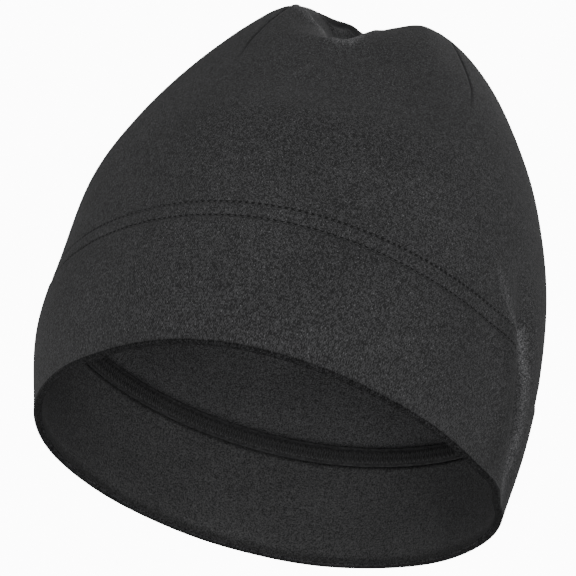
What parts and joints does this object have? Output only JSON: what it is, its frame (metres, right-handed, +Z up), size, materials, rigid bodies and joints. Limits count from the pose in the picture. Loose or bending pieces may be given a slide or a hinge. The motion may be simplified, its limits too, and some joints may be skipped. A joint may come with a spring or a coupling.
{
  "type": "knit sports cap",
  "caption": "Close-fitting knit sports cap with a doubled band, topstitched seam and darts gathering the crown, in the form it has on a head.",
  "frame": {"origin": "inside of the crown's apex, where the top of the head comes (mount head)", "axes": "+Z up out of the crown, -Y the front of the cap, +X the wearer's left"},
  "size_m": [0.1838, 0.2047, 0.1841],
  "materials": {
    "crown_cloth": "matt black jersey, brushed on the inside",
    "band_cloth": "matt black jersey, doubled",
    "seam_cloth": "matt black jersey, flattened under looper threads"
  },
  "bodies": {
    "root": {"crown": "crown_cloth", "band": "band_cloth", "seam_tape": "seam_cloth"}
  },
  "joints": []
}
